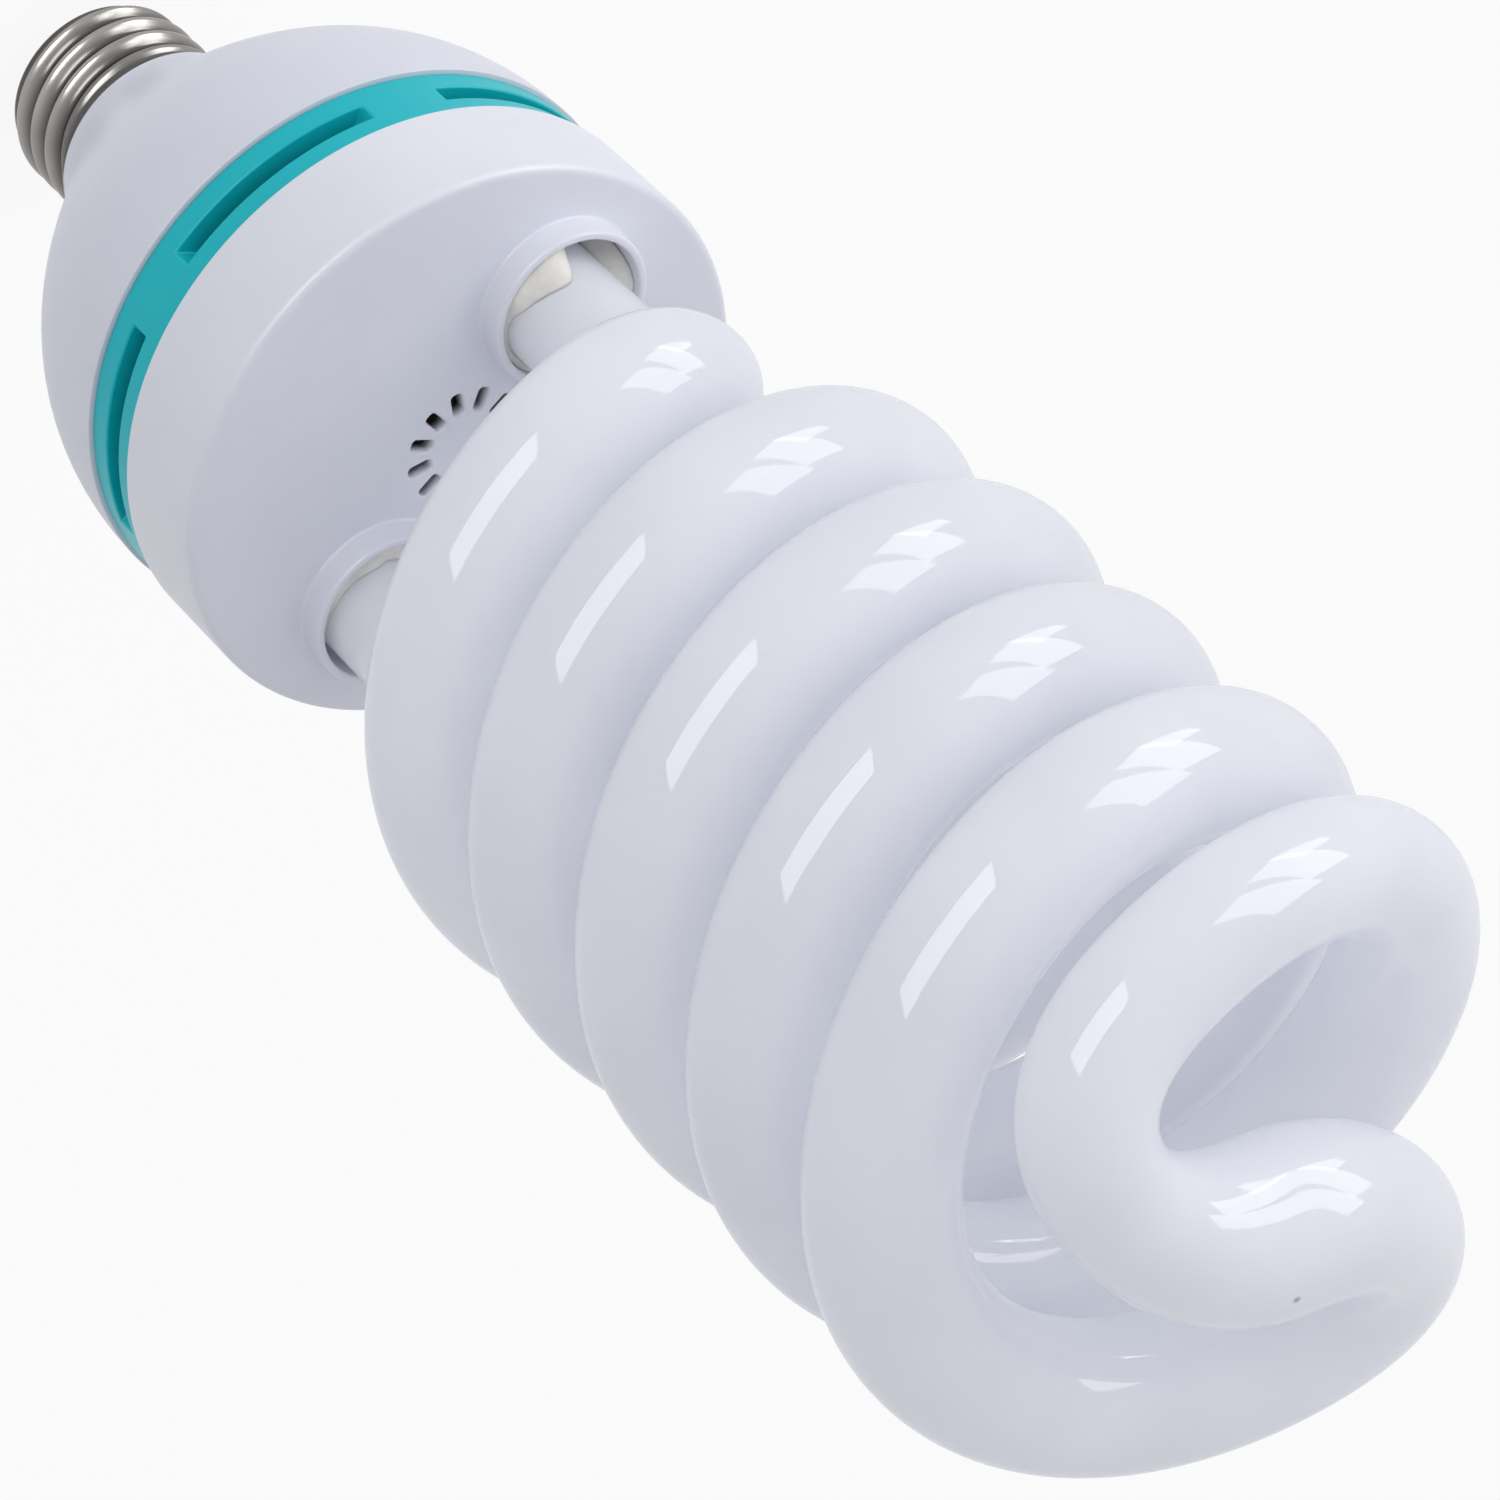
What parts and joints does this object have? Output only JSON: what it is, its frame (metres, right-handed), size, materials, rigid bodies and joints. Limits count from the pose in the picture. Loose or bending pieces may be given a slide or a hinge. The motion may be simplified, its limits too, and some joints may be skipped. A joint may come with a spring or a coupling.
{
  "type": "spiral fluorescent studio bulb",
  "caption": "Large spiral fluorescent bulb for a photo studio lamp: coated double-spiral tube on a white ballast housing with a teal vent ring and a screw cap.",
  "frame": {"origin": "tip of the centre contact, on the cap's axis", "axes": "+Z along the lamp's axis from the cap to the closed end of the spiral; the two leg collars lie on X"},
  "size_m": [0.0848, 0.0848, 0.2651],
  "materials": {
    "coated_glass": "white powder coat behind clear glossy glass",
    "white_plastic": "fine-grained moulded white",
    "teal_plastic": "satin moulded teal",
    "nickel_plate": "bright nickel on thin rolled sheet",
    "cap_glass": "opaque black glass",
    "contact_brass": "pressed brass",
    "cement": "dry cream cement",
    "board": "brown phenolic board",
    "tinned_wire": "tinned copper wire",
    "wire_insulation": "white insulated lead",
    "can_sleeve": "shrink sleeve on an aluminium can",
    "ferrite": "sintered dark grey ferrite",
    "bobbin_plastic": "moulded ivory",
    "enamelled_copper": "enamelled copper wire",
    "case_plastic": "black moulded case",
    "sink_aluminium": "plain sheet",
    "dipped_coat": "dipped red-brown coat",
    "resistor_coat": "matt coated body"
  },
  "bodies": {
    "root": {"screw_shell": "nickel_plate", "cap_insulator": "cap_glass", "centre_contact": "contact_brass", "lower_housing": "white_plastic", "vent_ring": "teal_plastic", "upper_cover": "white_plastic", "spiral_tube": "coated_glass", "tube_cement_a": "cement", "tube_cement_b": "cement", "circuit_board": "board", "wrap_pins": "tinned_wire", "filament_leads": "tinned_wire", "contact_wire": "wire_insulation", "shell_wire": "wire_insulation", "smoothing_capacitor_a": "can_sleeve", "smoothing_capacitor_b": "can_sleeve", "choke_core": "ferrite", "choke_bobbin": "bobbin_plastic", "choke_winding": "enamelled_copper", "toroid_core": "ferrite", "toroid_winding": "enamelled_copper", "transistor_a": "case_plastic", "transistor_b": "case_plastic", "heat_sink_a": "sink_aluminium", "heat_sink_b": "sink_aluminium", "resonant_capacitor": "dipped_coat", "blocking_capacitor": "dipped_coat", "filter_inductor": "enamelled_copper", "fuse_resistor": "resistor_coat", "rectifier_diodes": "case_plastic"}
  },
  "joints": []
}
